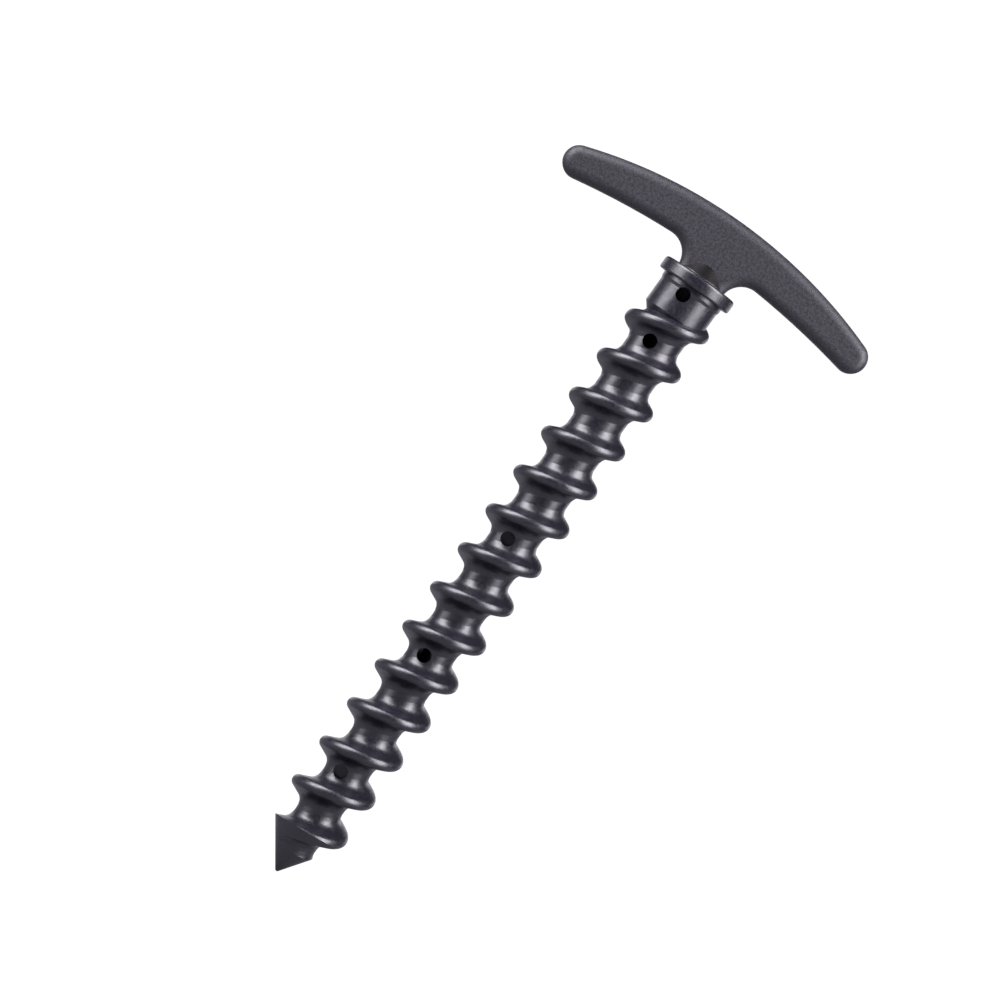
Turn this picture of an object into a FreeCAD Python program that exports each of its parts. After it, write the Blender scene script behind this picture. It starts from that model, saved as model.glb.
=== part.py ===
import FreeCAD, Part
import math
import os
import Sketcher
from FreeCAD import Placement, Rotation, Vector

# Screw-in tent stake, millimetres. +Z runs up the stake's axis, X along the handle and -Y is the
# front. The origin is on the axis at the underside of the brim, which is the ground line.

doc = FreeCAD.newDocument("TentStake")
sheet = doc.addObject("Spreadsheet::Sheet", "Sizes")

SIZES = [
    # outside of the shank, measured down from the brim
    ("shank_length", 219.8),
    ("bead_radius", 10.55),
    ("bead_length", 1.3),
    ("bead_step", 1.0),
    ("neck_radius", 10.2),
    ("neck_length", 10.5),
    ("neck_bevel", 2.7),
    ("core_radius_top", 8.05),
    ("core_radius_low", 6.28),
    ("cone_half_angle", 35.3),
    ("tip_rounding", 0.7),
    # the ridge, wound upward from below the tip
    ("ridge_pitch", 14.64),
    ("ridge_radius", 12.7),
    ("ridge_drop", 10.1),
    ("ridge_inner_radius", 4.6),
    ("full_turns", 15),
    ("last_turn", 0.2),
    # its section: a round crest, straight flanks, and a hollow floor reached by a fillet
    ("half_land", 0.12),
    ("crest_rounding", 1.8),
    ("flank_angle", 67.7),
    ("root_fillet", 3.2),
    ("floor_radius", 8.0),
    ("seam_gap", 0.4),
    # how far the core stands out of the hollow floors
    ("core_proud_low", 0.03),
    ("core_proud_top", 0.2),
    # where the ridge runs out into the neck
    ("ramp_start", 38),
    ("ramp_end", 78),
    ("ramp_past", 8),
    ("ramp_height", 15),
    ("ramp_margin", 0.3),
    ("ramp_bite", 0.1),
    # inside of the shank
    ("bore_radius_top", 4.0),
    ("bore_radius_low", 2.8),
    ("bore_depth", 144.0),
    ("bore_point", 1.6),
    ("bore_overlap", 1.0),
    ("socket_width", 8.1),
    ("socket_depth", 15.0),
    # the five cored holes down the front
    ("hole_radius", 2.3),
    ("hole_offset", 1.7),
    ("neck_hole_drop", 3.3),
    ("upper_hole_drop", 20.5),
    ("upper_pit_drop", 94.6),
    ("turns_between_holes", 3),
    ("upper_pit_floor", 4.9),
    ("lower_pit_floor", 4.1),
    # brim collar
    ("brim_radius", 12.7),
    ("brim_thickness", 4.1),
    ("brim_top_edge", 1.0),
    ("brim_lower_edge", 0.6),
    ("boss_radius", 8.6),
    ("boss_rise", 5.0),
    ("boss_top_radius", 5.0),
    ("slot_floor", 2.0),
    ("slot_gap", 0.05),
    # T-handle
    ("handle_length", 112.4),
    ("handle_thickness", 10.8),
    ("handle_top", 25.2),
    ("handle_top_arc", 160.0),
    ("arm_underside", 11.1),
    ("arm_underside_arc", 261.0),
    ("stem_width", 16.8),
    ("stem_fillet", 7.1),
    ("handle_edge", 3.2),
    ("tang_width", 8.0),
    ("tang_length", 14.0),
    ("tang_bevel", 1.0),
    # how far a cutting shape reaches past the part
    ("past", 6.0),
]
for row, (name, value) in enumerate(SIZES, start=1):
    sheet.set("A%d" % row, name)
    sheet.set("B%d" % row, str(value))
    sheet.setAlias("B%d" % row, name)
doc.recompute()

CLEAR = "(Sizes.ridge_radius + Sizes.past)"  # a radius outside everything on the shank


def size(expression):
    """The number that an expression of the sheet gives."""
    return float(sheet.evalExpression(str(expression)))


def new_body(label):
    body = doc.addObject("PartDesign::Body", label)
    body.Label = label
    return body


def origin_plane(body, role):
    return next(item for item in body.Origin.OriginFeatures if item.Role == role)


def new_sketch(body, name, role="XZ_Plane", offset=None):
    """A sketch on one of the body's own planes, moved along its normal by an expression."""
    sketch = body.newObject("Sketcher::SketchObject", name)
    sketch.AttachmentSupport = [(origin_plane(body, role), "")]
    sketch.MapMode = "FlatFace"
    if offset:
        sketch.setExpression("AttachmentOffset.Base.z", offset)
    return sketch


def drive(sketch, constraint, expression):
    """Add a dimension whose value is an expression of the sheet."""
    index = sketch.addConstraint(constraint)
    sketch.setExpression("Constraints[%d]" % index, expression)
    return index


def pin_point(sketch, geometry, point, x, y):
    """Fix a point by its two distances from the sketch's origin."""
    for kind, expression in (("DistanceX", x), ("DistanceY", y)):
        value = size(expression)
        drive(sketch, Sketcher.Constraint(kind, -1, 1, geometry, point, value), str(expression))


def arc_about(centre, radius, start, end):
    """The counter-clockwise arc from start to end."""
    first = math.atan2(start.y - centre.y, start.x - centre.x)
    last = math.atan2(end.y - centre.y, end.x - centre.x)
    if last < first:
        last += 2 * math.pi
    return Part.ArcOfCircle(Part.Circle(centre, Vector(0, 0, 1), radius), first, last)


def draw_polygon(sketch, corners):
    """Close a polygon through corners, each a pair of expressions."""
    points = [Vector(size(x), size(y), 0) for x, y in corners]
    count = len(points)
    for index, point in enumerate(points):
        sketch.addGeometry(Part.LineSegment(point, points[(index + 1) % count]), False)
    for index, (x, y) in enumerate(corners):
        sketch.addConstraint(Sketcher.Constraint("Coincident", (index - 1) % count, 2, index, 1))
        pin_point(sketch, index, 1, x, y)
    return sketch


def draw_square(sketch, width):
    half = "%s / 2" % width
    return draw_polygon(sketch, [
        ("-" + half, "-" + half), (half, "-" + half), (half, half), ("-" + half, half)])


def turned(body, name, kind, corners):
    """A Revolution or Groove of a polygon about the stake's axis."""
    sketch = draw_polygon(new_sketch(body, name + "Profile"), corners)
    feature = body.newObject("PartDesign::" + kind, name)
    feature.Profile = sketch
    feature.ReferenceAxis = (sketch, ["V_Axis"])
    feature.Angle = 360
    doc.recompute()
    return feature


def cut(body, name, sketch, length, reverse=False):
    """A pocket of the given length; it has to take material away."""
    before = body.Shape.Volume
    pocket = body.newObject("PartDesign::Pocket", name)
    pocket.Profile = sketch
    pocket.Reversed = reverse
    pocket.setExpression("Length", length)
    doc.recompute()
    assert body.Shape.Volume < before, name + " cuts nothing"
    return pocket


def round_edges(body, name, radius, chosen, kind="Fillet"):
    """Fillet (or chamfer) the edges of the body's tip that the test accepts."""
    base = body.Tip
    edges = ["Edge%d" % number for number, edge in enumerate(base.Shape.Edges, start=1) if chosen(edge)]
    feature = body.newObject("PartDesign::" + kind, name)
    feature.Base = (base, edges)
    feature.setExpression("Radius" if kind == "Fillet" else "Size", radius)
    doc.recompute()
    return feature


# ---- screw shank -------------------------------------------------------------------------------

def hollow_radius(height):
    """Radius of the ridge's hollow floor at a height; the core's cone covers it a little."""
    low = size("Sizes.core_radius_low - Sizes.core_proud_low")
    top = size("Sizes.core_radius_top - Sizes.core_proud_top")
    rise = size("Sizes.shank_length - Sizes.neck_length - Sizes.neck_bevel")
    return low + (top - low) * (height + size("Sizes.shank_length")) / rise


def flank_run(shoulder, along, normal, floor_centre):
    """Length of straight flank before a fillet that also touches the floor's arc from inside."""
    fillet, floor = size("Sizes.root_fillet"), size("Sizes.floor_radius")
    start = shoulder + normal * fillet - floor_centre
    lean = start.dot(along)
    return -lean + math.sqrt(lean ** 2 - start.dot(start) + (floor - fillet) ** 2)


def ridge_side(root, way):
    """Corners and arc centres of the section's upper (way 1) or lower (way -1) side, crest first."""
    crest, floor = size("Sizes.crest_rounding"), size("Sizes.floor_radius")
    angle, middle = math.radians(size("Sizes.flank_angle")), size("Sizes.ridge_pitch / 2")
    along = Vector(-math.sin(angle), math.cos(angle))
    normal = Vector(math.cos(angle), math.sin(angle))
    crest_centre = Vector(size("Sizes.ridge_radius") - crest, size("Sizes.half_land"))
    floor_centre = Vector(root + floor, middle)
    shoulder = crest_centre + normal * crest
    hollow = shoulder + along * flank_run(shoulder, along, normal, floor_centre)
    fillet_centre = hollow + normal * size("Sizes.root_fillet")
    meet = floor_centre + (fillet_centre - floor_centre).normalize() * floor
    gap = size("Sizes.seam_gap")
    seam = floor_centre + Vector(-math.sqrt(floor ** 2 - gap ** 2), -gap)
    inner = Vector(size("Sizes.ridge_inner_radius"), seam.y)
    corners = [crest_centre + Vector(crest, 0), shoulder, hollow, meet, seam, inner]
    centres = [crest_centre, fillet_centre, floor_centre]
    return [Vector(p.x, way * p.y) for p in corners], [Vector(p.x, way * p.y) for p in centres]


def draw_ridge_side(sketch, root, way):
    """Draw one side of the section; back come its open ends as (geometry, point) pairs."""
    (land, shoulder, hollow, meet, seam, inner), centres = ridge_side(root, way)
    arcs = []
    for centre, ends in zip(centres, ((land, shoulder), (meet, hollow), (seam, meet))):
        start, end = ends[::way]
        arcs.append(sketch.addGeometry(arc_about(centre, (start - centre).Length, start, end), False))
    crest, fillet, floor = arcs
    flank = sketch.addGeometry(Part.LineSegment(shoulder, hollow), False)
    foot = sketch.addGeometry(Part.LineSegment(seam, inner), False)
    near, far = (1, 2)[::way]
    sketch.addConstraint(Sketcher.Constraint("Tangent", crest, far, flank, 1))
    sketch.addConstraint(Sketcher.Constraint("Tangent", flank, 2, fillet, far))
    sketch.addConstraint(Sketcher.Constraint("Tangent", fillet, near, floor, far))
    sketch.addConstraint(Sketcher.Constraint("Coincident", floor, near, foot, 1))
    sketch.addConstraint(Sketcher.Constraint("Horizontal", foot))
    for arc, cell in zip(arcs, ("Sizes.crest_rounding", "Sizes.root_fillet", "Sizes.floor_radius")):
        drive(sketch, Sketcher.Constraint("Radius", arc, size(cell)), cell)
    sign = "" if way > 0 else "-"
    seam_height = sign + "(Sizes.ridge_pitch / 2 - Sizes.seam_gap)"
    pin_point(sketch, crest, 3, "Sizes.ridge_radius - Sizes.crest_rounding", sign + "Sizes.half_land")
    pin_point(sketch, foot, 2, "Sizes.ridge_inner_radius", seam_height)
    return (crest, near), (foot, 2)


def bridge(sketch, start, end):
    """A line between two points of the sketch, each a (geometry, point) pair."""
    line = sketch.addGeometry(Part.LineSegment(sketch.getPoint(*start), sketch.getPoint(*end)), False)
    sketch.addConstraint(Sketcher.Constraint("Coincident", *start, line, 1))
    sketch.addConstraint(Sketcher.Constraint("Coincident", *end, line, 2))


def draw_ridge_section(name, turn):
    """One pitch of the ridge, in the half-plane that it has turned to."""
    height = "-Sizes.ridge_drop + (%s) * Sizes.ridge_pitch" % turn
    sketch = doc.addObject("Sketcher::SketchObject", name)
    about_axis = Rotation(Vector(0, 0, 1), 360 * size(turn))
    sketch.Placement = Placement(Vector(0, 0, size(height)), about_axis * Rotation(Vector(1, 0, 0), 90))
    sketch.setExpression("Placement.Base.z", height)
    half_pitch = size("Sizes.ridge_pitch / 2")
    upper, upper_foot = draw_ridge_side(sketch, hollow_radius(size(height) + half_pitch), 1)
    lower, lower_foot = draw_ridge_side(sketch, hollow_radius(size(height) - half_pitch), -1)
    bridge(sketch, lower, upper)
    bridge(sketch, upper_foot, lower_foot)
    return sketch


def wind_ridge(body):
    """The right-hand ridge, and the ramp that lets its top end die away into the neck."""
    sections = [
        draw_ridge_section("RidgeStart", "-Sizes.full_turns"),
        draw_ridge_section("RidgeEnd", "Sizes.last_turn")]
    spine = doc.addObject("Part::Helix", "RidgeSpine")
    spine.setExpression("Pitch", "Sizes.ridge_pitch")
    spine.setExpression("Height", "(Sizes.full_turns + Sizes.last_turn) * Sizes.ridge_pitch")
    spine.setExpression("Radius", "Sizes.ridge_inner_radius")
    spine.setExpression("Placement.Base.z", "-Sizes.ridge_drop - Sizes.full_turns * Sizes.ridge_pitch")
    doc.recompute()
    ridge = doc.addObject("Part::Sweep", "Ridge")
    ridge.Sections = sections
    ridge.Spine = (spine, ["Edge%d" % number for number in range(1, len(spine.Shape.Edges) + 1)])
    ridge.Solid = True
    ridge.Frenet = True
    body.BaseFeature = ridge
    doc.recompute()
    crest, neck = "(Sizes.ridge_radius + Sizes.ramp_margin)", "(Sizes.neck_radius - Sizes.ramp_bite)"
    past = "(Sizes.ramp_end + Sizes.ramp_past)"
    ramp = [
        (radius + " * cos(%s)" % angle, radius + " * sin(%s)" % angle)
        for radius, angle in (
            (crest, "Sizes.ramp_start"), (CLEAR, "Sizes.ramp_start"), (CLEAR, past), (neck, past),
            (neck, "Sizes.ramp_end"))
    ]
    outline = draw_polygon(new_sketch(body, "RampOutline", "XY_Plane"), ramp)
    cut(body, "Ramp", outline, "Sizes.ramp_height")


def shape_tip(body):
    """Everything outside the tip's cone is turned away, with a round point."""
    angle, rounding = "Sizes.cone_half_angle", "Sizes.tip_rounding"
    sharp = "(-Sizes.shank_length - %s * (1 / sin(%s) - 1))" % (rounding, angle)
    sketch = new_sketch(body, "TipProfile")
    below = "-Sizes.shank_length - Sizes.ridge_pitch - Sizes.past"
    touch = (rounding + " * cos(%s)" % angle,
             "-Sizes.shank_length + %s * (1 - sin(%s))" % (rounding, angle))
    corners = [("0", "-Sizes.shank_length"), ("0", below), (CLEAR, below),
               (CLEAR, "%s + %s / tan(%s)" % (sharp, CLEAR, angle)), touch]
    points = [Vector(size(x), size(y), 0) for x, y in corners]
    for first, last in zip(points, points[1:]):
        sketch.addGeometry(Part.LineSegment(first, last), False)
    middle = Vector(0, size("-Sizes.shank_length + " + rounding), 0)
    sketch.addGeometry(arc_about(middle, size(rounding), points[0], points[-1]), False)
    for index in range(3):
        sketch.addConstraint(Sketcher.Constraint("Coincident", index, 2, index + 1, 1))
    sketch.addConstraint(Sketcher.Constraint("Coincident", 4, 1, 0, 1))
    sketch.addConstraint(Sketcher.Constraint("Coincident", 4, 2, 3, 2))
    for index, (x, y) in enumerate(corners[:-1]):
        pin_point(sketch, index, 1, x, y)
    pin_point(sketch, 3, 2, *corners[-1])
    drive(sketch, Sketcher.Constraint("Radius", 4, size(rounding)), rounding)
    groove = body.newObject("PartDesign::Groove", "TipCone")
    groove.Profile = sketch
    groove.ReferenceAxis = (sketch, ["V_Axis"])
    groove.Angle = 360
    doc.recompute()


def core_front_hole(body, name, drop, floor="0"):
    """A round hole from the front; its floor lies the given distance in front of the axis."""
    sketch = new_sketch(body, name + "Outline", "XZ_Plane", floor)
    place = Vector(-size("Sizes.hole_offset"), -size(drop), 0)
    sketch.addGeometry(Part.Circle(place, Vector(0, 0, 1), size("Sizes.hole_radius")), False)
    pin_point(sketch, 0, 3, "-Sizes.hole_offset", "-(%s)" % drop)
    drive(sketch, Sketcher.Constraint("Radius", 0, size("Sizes.hole_radius")), "Sizes.hole_radius")
    cut(body, name, sketch, CLEAR, reverse=True)


def make_screw_shank():
    body = new_body("screw_shank")
    wind_ridge(body)
    neck_foot = "-(Sizes.neck_length + Sizes.neck_bevel)"
    turned(body, "NeckAndCore", "Revolution", [
        ("0", "0"),
        ("Sizes.bead_radius", "0"),
        ("Sizes.bead_radius", "-Sizes.bead_length"),
        ("Sizes.neck_radius", "-Sizes.bead_length - Sizes.bead_step"),
        ("Sizes.neck_radius", "-Sizes.neck_length"),
        ("Sizes.core_radius_top", neck_foot),
        ("Sizes.core_radius_low", "-Sizes.shank_length"),
        ("0", "-Sizes.shank_length"),
    ])
    shape_tip(body)
    turned(body, "Bore", "Groove", [
        ("0", "-Sizes.socket_depth + Sizes.bore_overlap"),
        ("Sizes.bore_radius_top", "-Sizes.socket_depth + Sizes.bore_overlap"),
        ("Sizes.bore_radius_low", "-Sizes.bore_depth"),
        ("0", "-Sizes.bore_depth - Sizes.bore_point"),
    ])
    socket = draw_square(new_sketch(body, "SocketOutline", "XY_Plane"), "Sizes.socket_width")
    cut(body, "Socket", socket, "Sizes.socket_depth")
    low = "Sizes.upper_pit_drop + %d * Sizes.turns_between_holes * Sizes.ridge_pitch"
    core_front_hole(body, "NeckHole", "Sizes.neck_hole_drop")
    core_front_hole(body, "UpperHole", "Sizes.upper_hole_drop")
    core_front_hole(body, "UpperPit", "Sizes.upper_pit_drop", "Sizes.upper_pit_floor")
    core_front_hole(body, "LowerHole", low % 1)
    core_front_hole(body, "LowerPit", low % 2, "Sizes.lower_pit_floor")
    return body


# ---- brim collar -------------------------------------------------------------------------------

def draw_stem_section(sketch, gap="0"):
    """The stem's rectangle with round corners, grown by a gap."""
    half_x = size("Sizes.stem_width / 2 + " + gap)
    half_y = size("Sizes.handle_thickness / 2 + " + gap)
    corner = size("Sizes.handle_edge + " + gap)
    x, y = half_x - corner, half_y - corner
    centres = [Vector(x, y, 0), Vector(-x, y, 0), Vector(-x, -y, 0), Vector(x, -y, 0)]
    for index, centre in enumerate(centres):
        start = index * math.pi / 2
        circle = Part.Circle(centre, Vector(0, 0, 1), corner)
        sketch.addGeometry(Part.ArcOfCircle(circle, start, start + math.pi / 2), False)
    for index in range(4):
        first = sketch.getPoint(index, 2)
        last = sketch.getPoint((index + 1) % 4, 1)
        line = sketch.addGeometry(Part.LineSegment(first, last), False)
        sketch.addConstraint(Sketcher.Constraint("Tangent", index, 2, line, 1))
        sketch.addConstraint(Sketcher.Constraint("Tangent", line, 2, (index + 1) % 4, 1))
        kind = "Horizontal" if index % 2 == 0 else "Vertical"
        sketch.addConstraint(Sketcher.Constraint(kind, line))
        drive(sketch, Sketcher.Constraint("Radius", index, corner), "Sizes.handle_edge + " + gap)
    reach_x = "Sizes.stem_width / 2 - Sizes.handle_edge"
    reach_y = "Sizes.handle_thickness / 2 - Sizes.handle_edge"
    pin_point(sketch, 0, 3, reach_x, reach_y)
    pin_point(sketch, 2, 3, "-(%s)" % reach_x, "-(%s)" % reach_y)
    return sketch


def make_brim_collar():
    body = new_body("brim_collar")
    turned(body, "BrimAndBoss", "Revolution", [
        ("0", "0"),
        ("Sizes.brim_radius", "0"),
        ("Sizes.brim_radius", "Sizes.brim_thickness"),
        ("Sizes.boss_radius", "Sizes.brim_thickness"),
        ("Sizes.boss_top_radius", "Sizes.brim_thickness + Sizes.boss_rise"),
        ("0", "Sizes.brim_thickness + Sizes.boss_rise"),
    ])
    brim = size("Sizes.brim_radius")

    def rim_edge(height):
        def chosen(edge):
            box = edge.BoundBox
            return abs(box.XLength - 2 * brim) < 0.01 and abs(box.ZMax - height) < 0.01 and box.ZLength < 0.01
        return chosen

    round_edges(body, "TopEdge", "Sizes.brim_top_edge", rim_edge(size("Sizes.brim_thickness")))
    round_edges(body, "LowerEdge", "Sizes.brim_lower_edge", rim_edge(0))
    floor = new_sketch(body, "SlotOutline", "XY_Plane", "Sizes.slot_floor")
    draw_stem_section(floor, "Sizes.slot_gap")
    cut(body, "StemSlot", floor, CLEAR, reverse=True)
    window = draw_square(new_sketch(body, "TangWindow", "XY_Plane"), "Sizes.socket_width")
    cut(body, "TangHole", window, CLEAR, reverse=True)
    return body


# ---- T-handle ----------------------------------------------------------------------------------

def draw_half_bow(sketch):
    """The right-hand half of the bow and its stem, closed along the axis."""
    top, top_arc = size("Sizes.handle_top"), size("Sizes.handle_top_arc")
    under, under_arc = size("Sizes.arm_underside"), size("Sizes.arm_underside_arc")
    stem, fillet = size("Sizes.stem_width / 2"), size("Sizes.stem_fillet")
    foot = size("Sizes.slot_floor")
    top_centre, under_centre = Vector(0, top - top_arc, 0), Vector(0, under - under_arc, 0)
    end_radius = size("(Sizes.handle_top - Sizes.arm_underside) / 3")
    end_x = size("Sizes.handle_length / 2") - end_radius
    end = Vector(end_x, top_centre.y + math.sqrt((top_arc - end_radius) ** 2 - end_x ** 2), 0)
    end_top = end + (end - top_centre).normalize() * end_radius
    end_low = end - (end - under_centre).normalize() * end_radius
    heel_x = stem + fillet
    heel = Vector(heel_x, under_centre.y + math.sqrt((under_arc - fillet) ** 2 - heel_x ** 2), 0)
    heel_top = heel + (heel - under_centre).normalize() * fillet
    corners = [Vector(stem, heel.y, 0), Vector(stem, foot, 0), Vector(0, foot, 0), Vector(0, top, 0)]
    for shape in (
        arc_about(top_centre, top_arc, end_top, corners[3]),
        arc_about(end, end_radius, end_low, end_top),
        arc_about(under_centre, under_arc, end_low, heel_top),
        arc_about(heel, fillet, heel_top, corners[0]),
        Part.LineSegment(corners[0], corners[1]),
        Part.LineSegment(corners[1], corners[2]),
        Part.LineSegment(corners[2], corners[3]),
    ):
        sketch.addGeometry(shape, False)
    add = sketch.addConstraint
    add(Sketcher.Constraint("Tangent", 0, 1, 1, 2))
    add(Sketcher.Constraint("Tangent", 1, 1, 2, 1))
    add(Sketcher.Constraint("Tangent", 2, 2, 3, 1))
    add(Sketcher.Constraint("Tangent", 3, 2, 4, 1))
    add(Sketcher.Constraint("Coincident", 4, 2, 5, 1))
    add(Sketcher.Constraint("Coincident", 5, 2, 6, 1))
    add(Sketcher.Constraint("Coincident", 6, 2, 0, 2))
    add(Sketcher.Constraint("Vertical", 4))
    add(Sketcher.Constraint("PointOnObject", 0, 3, -2))
    add(Sketcher.Constraint("PointOnObject", 2, 3, -2))
    drive(sketch, Sketcher.Constraint("Radius", 0, top_arc), "Sizes.handle_top_arc")
    drive(sketch, Sketcher.Constraint("Radius", 2, under_arc), "Sizes.arm_underside_arc")
    drive(sketch, Sketcher.Constraint("Radius", 3, fillet), "Sizes.stem_fillet")
    pin_point(sketch, 6, 2, "0", "Sizes.handle_top")
    pin_point(sketch, 5, 2, "0", "Sizes.slot_floor")
    lift = "Sizes.arm_underside - Sizes.arm_underside_arc"
    drive(sketch, Sketcher.Constraint("DistanceY", -1, 1, 2, 3, size(lift)), lift)
    drive(sketch, Sketcher.Constraint("DistanceX", -1, 1, 4, 2, stem), "Sizes.stem_width / 2")
    limit = size("Sizes.handle_length / 2")
    tangent = Part.LineSegment(Vector(limit, end.y - 1, 0), Vector(limit, end.y + 1, 0))
    sketch.addGeometry(tangent, True)
    add(Sketcher.Constraint("Vertical", 7))
    add(Sketcher.Constraint("Tangent", 7, 1))
    drive(sketch, Sketcher.Constraint("DistanceX", -1, 1, 7, 1, limit), "Sizes.handle_length / 2")
    drive(sketch, Sketcher.Constraint("DistanceY", -1, 1, 4, 2, foot), "Sizes.slot_floor")
    return sketch


def make_t_handle():
    body = new_body("t_handle")
    bow = new_sketch(body, "BowOutline")
    draw_half_bow(bow)
    pad = body.newObject("PartDesign::Pad", "Bow")
    pad.Profile = bow
    pad.SideType = "Symmetric"
    pad.setExpression("Length", "Sizes.handle_thickness")
    doc.recompute()
    mirror = body.newObject("PartDesign::Mirrored", "BothArms")
    mirror.Originals = [pad]
    mirror.MirrorPlane = (origin_plane(body, "YZ_Plane"), [""])
    body.Tip = mirror
    doc.recompute()
    half, foot = size("Sizes.handle_thickness / 2"), size("Sizes.slot_floor")

    def along_outline(edge):
        box = edge.BoundBox
        return box.YLength < 0.01 and abs(abs(box.YMin) - half) < 0.01 and box.ZMax > foot + 0.01

    round_edges(body, "SoftEdges", "Sizes.handle_edge", along_outline)
    tang_outline = new_sketch(body, "TangOutline", "XY_Plane", "Sizes.slot_floor")
    draw_square(tang_outline, "Sizes.tang_width")
    tang = body.newObject("PartDesign::Pad", "Tang")
    tang.Profile = tang_outline
    tang.Reversed = True
    tang.setExpression("Length", "Sizes.tang_length + Sizes.slot_floor")
    doc.recompute()
    end = -size("Sizes.tang_length")

    def tang_end(edge):
        return abs(edge.BoundBox.ZMax - end) < 0.01

    round_edges(body, "TangBevel", "Sizes.tang_bevel", tang_end, "Chamfer")
    return body


# ---- build, check and write --------------------------------------------------------------------

PARTS = [make_t_handle(), make_brim_collar(), make_screw_shank()]
doc.recompute()

for item in doc.Objects:
    assert not {"Invalid", "Error"} & set(item.State), item.Name + " is in error"
os.makedirs("parts", exist_ok=True)
for part in PARTS:
    shape = part.Shape
    assert not shape.isNull() and shape.isValid() and len(shape.Solids) == 1, part.Label
    shape.exportStep("parts/%s.step" % part.Label)
    box = shape.BoundBox
    print("%-12s %7.2f x %6.2f x %7.2f mm, %8.1f mm3" % (
        part.Label, box.XLength, box.YLength, box.ZLength, shape.Volume))
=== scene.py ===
import math
import bmesh
import bpy
from mathutils import Matrix, Vector


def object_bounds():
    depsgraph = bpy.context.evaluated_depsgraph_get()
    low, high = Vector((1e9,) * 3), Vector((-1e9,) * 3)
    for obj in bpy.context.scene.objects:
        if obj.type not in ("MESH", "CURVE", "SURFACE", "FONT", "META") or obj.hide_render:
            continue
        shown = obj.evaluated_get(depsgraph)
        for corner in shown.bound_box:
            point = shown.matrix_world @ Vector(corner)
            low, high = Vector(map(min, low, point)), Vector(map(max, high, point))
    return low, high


# %% [markdown]
# A tent stake that screws into the ground: a bow-shaped T-handle, a round brim, and a shank
# with one coarse ridge wound round it. The design comes in as a finished frame of three solids.
# Nothing here moves them. What this script adds is what the eye needs: black plastic that looks
# moulded, the small traces that moulding leaves, and a plain studio light.

# %% Load the design and keep its box
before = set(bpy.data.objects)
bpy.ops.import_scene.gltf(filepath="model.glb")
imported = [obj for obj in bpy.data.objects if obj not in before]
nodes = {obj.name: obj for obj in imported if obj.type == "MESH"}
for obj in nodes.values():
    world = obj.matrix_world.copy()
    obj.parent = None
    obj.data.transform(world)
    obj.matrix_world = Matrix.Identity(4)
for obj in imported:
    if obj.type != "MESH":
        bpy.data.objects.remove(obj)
CAD_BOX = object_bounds()
MM = 0.001
for name, node in nodes.items():
    print(name, len(node.data.polygons), "triangles", [round(v / MM, 1) for v in node.dimensions])

# %% [markdown]
# Colours are easiest to think about as the hex values that a paint program shows, but a renderer
# adds light in linear values, so one function turns the first into the second. Another adds a
# shader node with its settings and its links, so that each material reads as a short list. A
# socket is found by its name. The Mix node uses the names A, B and Result once for each kind of
# value that it mixes, so its colour sockets are found by their place in the list instead.

# %% Helpers for materials
MIX_A, MIX_B, MIX_RESULT = 6, 7, 2


def linear(hex_colour):
    """An sRGB hex colour as the linear colour that a shader wants."""
    parts = [int(hex_colour[i:i + 2], 16) / 255 for i in (1, 3, 5)]
    return [c / 12.92 if c <= 0.04045 else ((c + 0.055) / 1.055) ** 2.4 for c in parts] + [1.0]


def link(node, links):
    """Link a node's sockets, each from a pair: the node it comes from, and which output."""
    for socket, (source, output) in links.items():
        node.id_data.links.new(source.outputs[output], node.inputs[socket])


def add_node(owner, kind, settings=None, links=None, stops=None, **attributes):
    """Add a node to a material or a world; stops are a colour ramp's positions and hex colours."""
    node = owner.node_tree.nodes.new(kind)
    for key, value in attributes.items():
        setattr(node, key, value)
    for socket, value in (settings or {}).items():
        node.inputs[socket].default_value = value
    if stops:
        for element, (position, colour) in zip(node.color_ramp.elements, stops.items()):
            element.position = position
            element.color = linear(colour)
    link(node, links or {})
    return node


def new_material(name, **surface):
    """A material with one Principled shader, and its even values set on its own sockets."""
    material = bpy.data.materials.new(name)
    material.use_nodes = True
    shader = material.node_tree.nodes["Principled BSDF"]
    for key, value in surface.items():
        shader.inputs[key.replace("_", " ")].default_value = value
    return material, shader


def dress(name, material):
    """Give a piece of the design its one material."""
    nodes[name].data.materials.clear()
    nodes[name].data.materials.append(material)
    print(name + ":", material.name)


print("a near-black is", [round(c, 4) for c in linear("#1d1c21")])

# %% [markdown]
# All three pieces come from two-part moulds that close on the plane through the axis and the
# handle, so each has a faint raised line where the halves met. The line is one small bump that
# every material here shares. It is worked out from the object's own Y, which is zero on that
# plane: full height near it, and nothing beyond its foot.

# %% Parting line
LINE_CREST = 0.04 * MM
LINE_FOOT = 0.14 * MM
LINE_HEIGHT = 0.06 * MM


def parting_line(material, place, strength):
    """A bump node that raises a hair of plastic along the plane y = 0."""
    split = add_node(material, "ShaderNodeSeparateXYZ", links={"Vector": (place, "Object")})
    away = add_node(material, "ShaderNodeMath", links={"Value": (split, "Y")}, operation="ABSOLUTE")
    height = add_node(material, "ShaderNodeMapRange",
                      {"From Min": LINE_CREST, "From Max": LINE_FOOT, "To Min": 1.0, "To Max": 0.0},
                      {"Value": (away, "Value")})
    return add_node(material, "ShaderNodeBump", {"Strength": strength, "Distance": LINE_HEIGHT},
                    {"Height": (height, "Result")})


print("parting line:", round(2 * LINE_FOOT / MM, 2), "mm wide at its foot, on y = 0")

# %% [markdown]
# The handle is glass-filled nylon from a mould whose flat faces were spark-eroded. The spark
# leaves pits, so the face is matt and looks speckled: each pit's rim catches a little light.
# Real pits are a few tenths of a millimetre across, too fine to show from here, so they are
# drawn at 0.9 mm. Two noises do it, one for the pits and a slow one for the faint clouding that
# the filler gives. The pits also drive the roughness and a bump.

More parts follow.
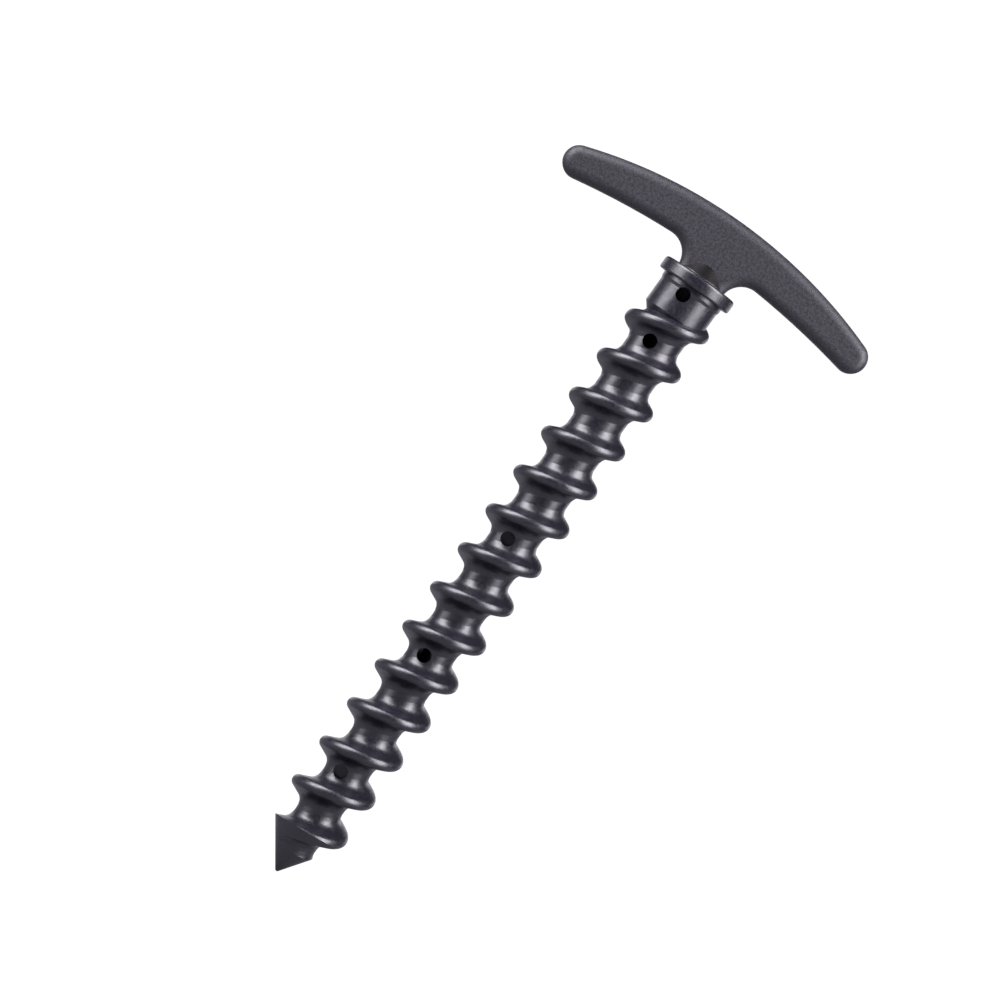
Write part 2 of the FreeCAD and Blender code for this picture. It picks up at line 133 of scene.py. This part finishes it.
# %% Grained black nylon for the handle
NYLON_IOR = 1.53
NOISE_LOW, NOISE_HIGH = 0.35, 0.68
PIT = 0.9 * MM
PIT_DEPTH = 0.12 * MM
CLOUD = 12 * MM


def grained_nylon():
    """Matt black with a speckle, and a haze laid over it."""
    material, shader = new_material("moulded_nylon_spark_grained", IOR=NYLON_IOR)
    place = add_node(material, "ShaderNodeTexCoord")
    pits = add_node(material, "ShaderNodeTexNoise", {"Scale": 1 / PIT, "Detail": 3.0, "Roughness": 0.65},
                    {"Vector": (place, "Object")})
    cloud = add_node(material, "ShaderNodeTexNoise", {"Scale": 1 / CLOUD, "Detail": 3.0},
                     {"Vector": (place, "Object")})
    speckle = add_node(material, "ShaderNodeValToRGB", links={"Fac": (pits, "Fac")},
                       stops={NOISE_LOW: "#08070c", NOISE_HIGH: "#1d1b25"})
    haze = add_node(material, "ShaderNodeValToRGB", links={"Fac": (cloud, "Fac")},
                    stops={NOISE_LOW: "#686868", NOISE_HIGH: "#989898"})
    shade = add_node(material, "ShaderNodeMix", {"Factor": 0.5},
                     {MIX_A: (speckle, "Color"), MIX_B: (haze, "Color")},
                     data_type="RGBA", blend_type="OVERLAY")
    rough = add_node(material, "ShaderNodeMapRange",
                     {"From Min": 0.35, "From Max": 0.65, "To Min": 0.50, "To Max": 0.66},
                     {"Value": (pits, "Fac")})
    bump = add_node(material, "ShaderNodeBump", {"Strength": 0.7, "Distance": PIT_DEPTH},
                    {"Height": (pits, "Fac"), "Normal": (parting_line(material, place, 0.4), "Normal")})
    link(shader, {"Base Color": (shade, MIX_RESULT), "Roughness": (rough, "Result"),
                  "Normal": (bump, "Normal")})
    return material


dress("t_handle", grained_nylon())

# %% [markdown]
# The shank comes from polished mould halves, so it is satin: the same nylon with a skin smooth
# enough to show the lamps as soft bars. The skin isn't perfect. Slow ripples, left where the
# melt flowed, bend the bars, and a fine speckle breaks their edges. The speckle is drawn at
# 0.8 mm, coarser than the real one. The collar has the same skin, so the skin's nodes come from
# a function that both materials call.

# %% Satin black nylon for the shank
SPECK = 0.8 * MM
SPECK_DEPTH = 0.05 * MM
RIPPLE = 4.5 * MM
RIPPLE_DEPTH = 0.30 * MM


def satin_skin(material, place):
    """The nodes of the satin skin: its tone, roughness and bump, in that order."""
    specks = add_node(material, "ShaderNodeTexNoise", {"Scale": 1 / SPECK, "Detail": 3.0, "Roughness": 0.6},
                      {"Vector": (place, "Object")})
    flow = add_node(material, "ShaderNodeTexNoise", {"Scale": 1 / RIPPLE, "Detail": 1.5},
                    {"Vector": (place, "Object")})
    tone = add_node(material, "ShaderNodeValToRGB", links={"Fac": (specks, "Fac")},
                    stops={NOISE_LOW: "#0b0a10", NOISE_HIGH: "#15141c"})
    rough = add_node(material, "ShaderNodeMapRange",
                     {"From Min": 0.3, "From Max": 0.7, "To Min": 0.30, "To Max": 0.42},
                     {"Value": (specks, "Fac")})
    ripples = add_node(material, "ShaderNodeBump", {"Strength": 0.4, "Distance": RIPPLE_DEPTH},
                       {"Height": (flow, "Fac"), "Normal": (parting_line(material, place, 0.5), "Normal")})
    bump = add_node(material, "ShaderNodeBump", {"Strength": 0.2, "Distance": SPECK_DEPTH},
                    {"Height": (specks, "Fac"), "Normal": (ripples, "Normal")})
    return tone, rough, bump


def satin_nylon():
    """The satin skin and nothing else."""
    material, shader = new_material("moulded_nylon_satin", IOR=NYLON_IOR)
    place = add_node(material, "ShaderNodeTexCoord")
    tone, rough, bump = satin_skin(material, place)
    link(shader, {"Base Color": (tone, "Color"), "Roughness": (rough, "Result"), "Normal": (bump, "Normal")})
    return material


dress("screw_shank", satin_nylon())

# %% [markdown]
# The collar is satin on its rim. The cone-shaped boss on top of it is dull, as plastic is where the
# mould was left rough, and its base colour is painted darker and a little brown, a painted dark brown
# reflection. One material does both: height on the object turns the satin into the dull, painted
# finish within half a millimetre above the rim. The dull finish is rougher and also mirrors less. A
# specular level that falls with height does that.
# The export drops a linked specular level, so in an exported model the boss is paler than here.

# %% Satin rim and dull boss for the collar
RIM_TOP = 4.2 * MM
RIM_BLEND = 0.5 * MM
BOSS_ROUGHNESS = 0.52


def collar_nylon():
    """Satin up to the rim's top, then a dull black with a painted dark brown reflection."""
    material, shader = new_material("moulded_nylon_satin_dull_boss_painted_brown", IOR=NYLON_IOR)
    place = add_node(material, "ShaderNodeTexCoord")
    tone, rough, bump = satin_skin(material, place)
    split = add_node(material, "ShaderNodeSeparateXYZ", links={"Vector": (place, "Object")})
    above = add_node(material, "ShaderNodeMapRange", {"From Min": RIM_TOP, "From Max": RIM_TOP + RIM_BLEND},
                     {"Value": (split, "Z")})
    dull = add_node(material, "ShaderNodeMapRange", {"To Max": BOSS_ROUGHNESS}, {"Value": (above, "Result")})
    rougher = add_node(material, "ShaderNodeMath", links={0: (rough, "Result"), 1: (dull, "Result")},
                       operation="MAXIMUM")
    level = add_node(material, "ShaderNodeMapRange", {"To Min": 0.5, "To Max": 0.1},
                     {"Value": (above, "Result")})
    # painted reflection: above the rim the base colour is mixed towards a dark brown
    painted_brown_reflection = add_node(material, "ShaderNodeMix", {MIX_B: linear("#040203")},
                     {"Factor": (above, "Result"), MIX_A: (tone, "Color")}, data_type="RGBA")
    link(shader, {"Base Color": (painted_brown_reflection, MIX_RESULT), "Roughness": (rougher, "Value"),
                  "Specular IOR Level": (level, "Result"), "Normal": (bump, "Normal")})
    return material


dress("brim_collar", collar_nylon())

# %% [markdown]
# The camera stands 1.1 m in front, a little above the middle, so it looks slightly down on the
# lower turns and sees the undersides of the upper ones. It is rolled, so the stake leans to the
# right in the view by a third of a right angle and a bit, and stays upright in its own frame.

# %% Camera
LEAN = math.radians(35.64)
VIEW_WIDTH = 303.6 * MM
SENSOR = 36.0
STAND = Vector((-5.0, -1120.0, -41.4)) * MM
AIM = Vector((-12.7, 0.0, -86.3)) * MM

camera = bpy.data.objects.new("camera", bpy.data.cameras.new("camera"))
bpy.context.scene.collection.objects.link(camera)
bpy.context.scene.camera = camera
camera.data.sensor_width = SENSOR
camera.data.lens = SENSOR * (STAND - AIM).length / VIEW_WIDTH
back = (STAND - AIM).normalized()
right = Vector((-math.sin(LEAN), 0, math.cos(LEAN))).cross(back).normalized()
pose = Matrix((right, back.cross(right), back)).transposed().to_4x4()
camera.matrix_world = Matrix.Translation(STAND) @ pose
print("camera lens", round(camera.data.lens, 1), "mm")

# %% [markdown]
# A pale floor lies just under the tip. It and the sky are white to the camera, and much dimmer
# to everything else, because black plastic between white walls would turn grey all over. A Light
# Path node tells the two apart. The white is a little over one, so that it stays pure white.

# %% Floor and sky
WHITE = 1.05
SKY_GLOW = 0.05
FLOOR_Z = CAD_BOX[0].z - 0.5 * MM
FLOOR_HALF = 3.0


def white_to_camera(owner, end, dim, white):
    """Show the camera one surface, and light the object with the other."""
    path = add_node(owner, "ShaderNodeLightPath")
    mix = add_node(owner, "ShaderNodeMixShader", links={"Fac": (path, "Is Camera Ray"), 1: dim, 2: white})
    link(end, {"Surface": (mix, "Shader")})


floor_mesh = bmesh.new()
bmesh.ops.create_grid(floor_mesh, x_segments=1, y_segments=1, size=FLOOR_HALF,
                      matrix=Matrix.Translation((0, 0, FLOOR_Z)))
floor_data = bpy.data.meshes.new("floor")
floor_mesh.to_mesh(floor_data)
floor_mesh.free()
floor = bpy.data.objects.new("floor", floor_data)
bpy.context.scene.collection.objects.link(floor)
paper, paper_shader = new_material("pale_paper", Roughness=0.9, Base_Color=linear("#727276"))
paper_glow = add_node(paper, "ShaderNodeEmission", {"Strength": WHITE})
white_to_camera(paper, paper.node_tree.nodes["Material Output"],
                (paper_shader, "BSDF"), (paper_glow, "Emission"))
floor_data.materials.append(paper)

world = bpy.data.worlds.new("sky")
bpy.context.scene.world = world
world.use_nodes = True
dim_sky = world.node_tree.nodes["Background"]
dim_sky.inputs["Color"].default_value = linear("#e6e8f4")
dim_sky.inputs["Strength"].default_value = SKY_GLOW
white_sky = add_node(world, "ShaderNodeBackground", {"Color": linear("#ffffff"), "Strength": WHITE})
white_to_camera(world, world.node_tree.nodes["World Output"],
                (dim_sky, "Background"), (white_sky, "Background"))
print("floor at", round(FLOOR_Z / MM, 1), "mm")

# %% [markdown]
# Two tall soft boxes stand left and right of the camera and reach high, so on the round neck
# each shows as one upright bar half-way out to the edge, and in each groove as a blob on the
# half that faces up. Two weaker boxes stand low, one under each, and carry the bars on down. A
# wide wall behind shines only along grazing faces: it draws the pale slivers on the far flanks
# of the ridge. A box's power is worked out from how bright its face is, so that a bigger box
# isn't a brighter one.

# %% Soft boxes and the wall behind
LAMP_TINT = (0.95, 0.92, 1.0)
# azimuths and elevations are in degrees, distances and sizes in metres
BOX_DISTANCE = 0.9
TALL_BOX = {"elevation": 38, "distance": BOX_DISTANCE, "size": (0.48, 0.90), "radiance": 18.5}
LOW_BOX = {"elevation": 2, "distance": BOX_DISTANCE, "size": (0.48, 0.36), "radiance": 6.5}
WALL = {"elevation": -10, "distance": 1.2, "size": (2.4, 1.2), "radiance": 1.6}
SIDES = {"left": -66, "right": 60}
BEHIND = 180


def soft_box(name, azimuth, elevation, distance, size, radiance):
    """An area lamp that looks at the middle of the stake, placed round its axis from the front."""
    lamp = bpy.data.lights.new(name, "AREA")
    lamp.shape = "RECTANGLE"
    lamp.size, lamp.size_y = size
    lamp.energy = radiance * math.pi * lamp.size * lamp.size_y
    lamp.color = LAMP_TINT
    box = bpy.data.objects.new(name, lamp)
    bpy.context.scene.collection.objects.link(box)
    box.visible_camera = False
    turn, rise = math.radians(azimuth), math.radians(elevation)
    away = Vector((math.sin(turn) * math.cos(rise), -math.cos(turn) * math.cos(rise), math.sin(rise)))
    box.location = Vector((0, 0, AIM.z)) + away * distance
    box.rotation_mode = "QUATERNION"
    box.rotation_quaternion = away.to_track_quat("Z", "Y")


for side, azimuth in SIDES.items():
    soft_box("soft_box_" + side, azimuth, **TALL_BOX)
    soft_box("low_box_" + side, azimuth, **LOW_BOX)
soft_box("wall_behind", BEHIND, **WALL)
bpy.context.scene.view_settings.view_transform = "Standard"
print("four soft boxes and a wall")
